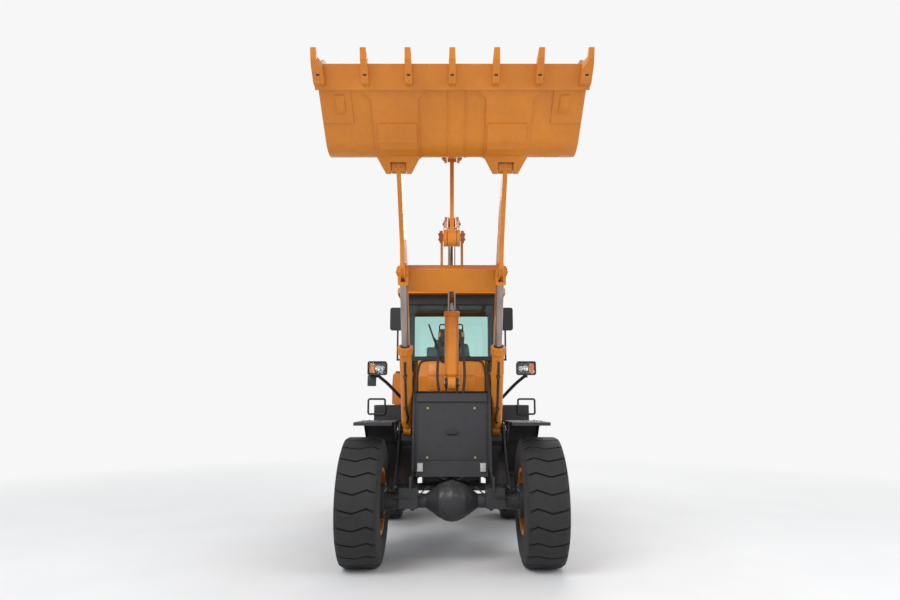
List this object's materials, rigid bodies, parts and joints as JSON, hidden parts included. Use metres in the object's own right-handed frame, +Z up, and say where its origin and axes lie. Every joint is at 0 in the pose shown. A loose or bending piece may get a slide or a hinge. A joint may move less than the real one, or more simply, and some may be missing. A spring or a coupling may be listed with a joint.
{
  "type": "wheel loader",
  "caption": "Articulated wheel loader with a raised Z-bar boom, a toothed bucket rolled back, a glazed cab, and a hinged engine hood; it digs, carries and dumps loose material.",
  "frame": {"origin": "on the ground, at the middle of the overall width and length at rest", "axes": "+Z up, the front with the bucket faces -Y, +X is the driver's left"},
  "size_m": [2.422, 6.6998, 4.9164],
  "materials": {
    "yellow_paint": "semi-gloss, slightly worn",
    "charcoal_paint": "satin",
    "chrome": "polished",
    "steel": "machined",
    "glass": "tinted",
    "black_plastic": "matte",
    "lamp": "gloss",
    "engine_iron": "matte",
    "exhaust_steel": "sooty",
    "tyre": "matte"
  },
  "bodies": {
    "chassis": {"rear_frame": "charcoal_paint", "counterweight": "charcoal_paint", "engine": "engine_iron", "rear_axle": "charcoal_paint", "rear_fenders": "charcoal_paint", "driveshaft_rear": "charcoal_paint", "decks": "charcoal_paint", "handrails": "charcoal_paint", "cab_base": "yellow_paint", "cab_frame": "charcoal_paint", "cab_roof": "yellow_paint", "cab_glass": "glass", "seat": "black_plastic", "steering_console": "black_plastic", "steering_wheel": "black_plastic", "oil_tank": "yellow_paint", "hood": "yellow_paint", "exhaust": "exhaust_steel", "air_intake": "black_plastic", "mirrors": "black_plastic", "rear_lamps": "lamp"},
    "front": {"front_frame": "charcoal_paint", "front_cover": "charcoal_paint", "front_axle": "charcoal_paint", "front_fenders": "charcoal_paint", "lamp_brackets": "charcoal_paint", "headlamps": "lamp", "driveshaft_front": "charcoal_paint"},
    "boom": {"boom": "yellow_paint"},
    "lift_barrels": {"lift_barrels": "yellow_paint"},
    "lift_rods": {"lift_rods": "chrome"},
    "tilt_base_pin": {"tilt_base_pin": "steel"},
    "tilt_barrel": {"tilt_barrel": "yellow_paint"},
    "tilt_rod": {"tilt_rod": "chrome"},
    "bellcrank_pin": {"bellcrank_pin": "steel"},
    "bellcrank": {"bellcrank": "yellow_paint"},
    "link_pin": {"link_pin": "steel"},
    "link": {"link": "yellow_paint"},
    "bucket_pins": {"bucket_pins": "steel"},
    "bucket": {"bucket": "yellow_paint", "bucket_edge": "yellow_paint"},
    "steer_barrel_left": {"steer_barrel_left": "yellow_paint"},
    "steer_rod_left": {"steer_rod_left": "chrome"},
    "steer_barrel_right": {"steer_barrel_right": "yellow_paint"},
    "steer_rod_right": {"steer_rod_right": "chrome"},
    "cab_door": {"cab_door": "yellow_paint", "door_glass": "glass"},
    "hood_door_left": {"hood_door_left": "yellow_paint"},
    "hood_door_right": {"hood_door_right": "yellow_paint"},
    "rear_grille": {"rear_grille": "black_plastic"},
    "wheel_front_left": {"tyre_front_left": "tyre", "rim_front_left": "yellow_paint"},
    "wheel_front_right": {"tyre_front_right": "tyre", "rim_front_right": "yellow_paint"},
    "wheel_rear_left": {"tyre_rear_left": "tyre", "rim_rear_left": "yellow_paint"},
    "wheel_rear_right": {"tyre_rear_right": "tyre", "rim_rear_right": "yellow_paint"}
  },
  "joints": [
    {"name": "steer", "type": "hinge", "parent": "chassis", "child": "front", "pos_m": [0, 0.07, 0.9], "axis": [0, 0, 1], "range_deg": [-36, 36]},
    {"name": "boom_lift", "type": "hinge", "parent": "front", "child": "boom", "pos_m": [0, -0.665, 1.93], "axis": [-1, 0, 0], "range_deg": [-86.5, 0]},
    {"name": "lift_barrel_swing", "type": "hinge", "parent": "front", "child": "lift_barrels", "pos_m": [0, -0.685, 1.37], "axis": [1, 0, 0], "range_deg": [-0.5, 77.56]},
    {"name": "lift_rod_slide", "type": "slide", "parent": "lift_barrels", "child": "lift_rods", "axis": [0, -0.49, 0.8717], "range_m": [-0.72865, 0.005]},
    {"name": "tilt_base_swing", "type": "hinge", "parent": "front", "child": "tilt_base_pin", "pos_m": [0, -0.945, 1.914], "axis": [1, 0, 0], "range_deg": [-0.5, 102.8]},
    {"name": "tilt_barrel_swing", "type": "hinge", "parent": "tilt_base_pin", "child": "tilt_barrel", "pos_m": [0, -0.945, 1.914], "axis": [1, 0, 0], "range_deg": [-3.17, 0.5]},
    {"name": "tilt_rod_slide", "type": "slide", "parent": "tilt_barrel", "child": "tilt_rod", "axis": [0, -0.0079, 1], "range_m": [-0.3795, 0.005]},
    {"name": "bellcrank_pin_turn", "type": "hinge", "parent": "boom", "child": "bellcrank_pin", "pos_m": [0, -1.41385, 3.53041], "axis": [1, 0, 0], "range_deg": [-0.5, 38.35]},
    {"name": "bellcrank_swing", "type": "hinge", "parent": "bellcrank_pin", "child": "bellcrank", "pos_m": [0, -1.41385, 3.53041], "axis": [1, 0, 0], "range_deg": [-42.37, 0.5]},
    {"name": "link_pin_turn", "type": "hinge", "parent": "bellcrank", "child": "link_pin", "pos_m": [0, -1.905, 3.384], "axis": [1, 0, 0], "range_deg": [-30.01, 0.5]},
    {"name": "link_swing", "type": "hinge", "parent": "link_pin", "child": "link", "pos_m": [0, -1.905, 3.384], "axis": [1, 0, 0], "range_deg": [-0.5, 80.6]},
    {"name": "bucket_pin_turn", "type": "hinge", "parent": "boom", "child": "bucket_pins", "pos_m": [0, -2.325, 4.01], "axis": [1, 0, 0], "range_deg": [-47.77, 0.5]},
    {"name": "bucket_tilt", "type": "hinge", "parent": "bucket_pins", "child": "bucket", "pos_m": [0, -2.325, 4.01], "axis": [1, 0, 0], "range_deg": [0, 80.04]},
    {"name": "wheel_front_left", "type": "hinge", "parent": "front", "child": "wheel_front_left", "pos_m": [0.94, -1.325, 0.66], "axis": [1, 0, 0], "continuous": true},
    {"name": "wheel_front_right", "type": "hinge", "parent": "front", "child": "wheel_front_right", "pos_m": [-0.94, -1.325, 0.66], "axis": [1, 0, 0], "continuous": true},
    {"name": "wheel_rear_left", "type": "hinge", "parent": "chassis", "child": "wheel_rear_left", "pos_m": [0.94, 1.465, 0.66], "axis": [1, 0, 0], "continuous": true},
    {"name": "wheel_rear_right", "type": "hinge", "parent": "chassis", "child": "wheel_rear_right", "pos_m": [-0.94, 1.465, 0.66], "axis": [1, 0, 0], "continuous": true},
    {"name": "steer_barrel_swing_left", "type": "hinge", "parent": "chassis", "child": "steer_barrel_left", "pos_m": [0.27, 0.77, 0.96], "axis": [0, 0, 1], "range_deg": [-1.5, 1.5]},
    {"name": "steer_rod_slide_left", "type": "slide", "parent": "steer_barrel_left", "child": "steer_rod_left", "axis": [0, -1, 0], "range_m": [-0.16125, 0.16125]},
    {"name": "steer_barrel_swing_right", "type": "hinge", "parent": "chassis", "child": "steer_barrel_right", "pos_m": [-0.27, 0.77, 0.96], "axis": [0, 0, 1], "range_deg": [-1.5, 1.5]},
    {"name": "steer_rod_slide_right", "type": "slide", "parent": "steer_barrel_right", "child": "steer_rod_right", "axis": [0, -1, 0], "range_m": [-0.16125, 0.16125]},
    {"name": "cab_door", "type": "hinge", "parent": "chassis", "child": "cab_door", "pos_m": [0.669, 0.907, 2.3], "axis": [0, 0, 1], "range_deg": [0, 95]},
    {"name": "hood_door_left", "type": "hinge", "parent": "chassis", "child": "hood_door_left", "pos_m": [0.512, 2.2, 1.933], "axis": [0, -1, 0], "range_deg": [0, 75]},
    {"name": "hood_door_right", "type": "hinge", "parent": "chassis", "child": "hood_door_right", "pos_m": [-0.512, 2.2, 1.933], "axis": [0, 1, 0], "range_deg": [0, 75]},
    {"name": "rear_grille", "type": "hinge", "parent": "chassis", "child": "rear_grille", "pos_m": [0.467, 2.972, 1.6], "axis": [0, 0, -1], "range_deg": [0, 100]}
  ],
  "couplings": [
    {"joint": "lift_barrel_swing", "follows": "boom_lift", "ratio": -0.89092},
    {"joint": "lift_rod_slide", "follows": "boom_lift", "m_per_rad": 0.47933},
    {"joint": "tilt_base_swing", "follows": "boom_lift", "ratio": -1.1827},
    {"joint": "tilt_barrel_swing", "follows": "bucket_tilt", "ratio": -0.033352},
    {"joint": "tilt_rod_slide", "follows": "bucket_tilt", "m_per_rad": -0.26809},
    {"joint": "bellcrank_pin_turn", "follows": "boom_lift", "ratio": -0.43754},
    {"joint": "bellcrank_swing", "follows": "bucket_tilt", "ratio": -0.52313},
    {"joint": "link_pin_turn", "follows": "boom_lift", "ratio": 0.34114},
    {"joint": "link_swing", "follows": "bucket_tilt", "ratio": 1.0008},
    {"joint": "bucket_pin_turn", "follows": "boom_lift", "ratio": 0.54652},
    {"joint": "steer_barrel_swing_left", "follows": "steer", "ratio": -0.02785},
    {"joint": "steer_rod_slide_left", "follows": "steer", "m_per_rad": -0.25186},
    {"joint": "steer_barrel_swing_right", "follows": "steer", "ratio": -0.02785},
    {"joint": "steer_rod_slide_right", "follows": "steer", "m_per_rad": 0.25186}
  ]
}
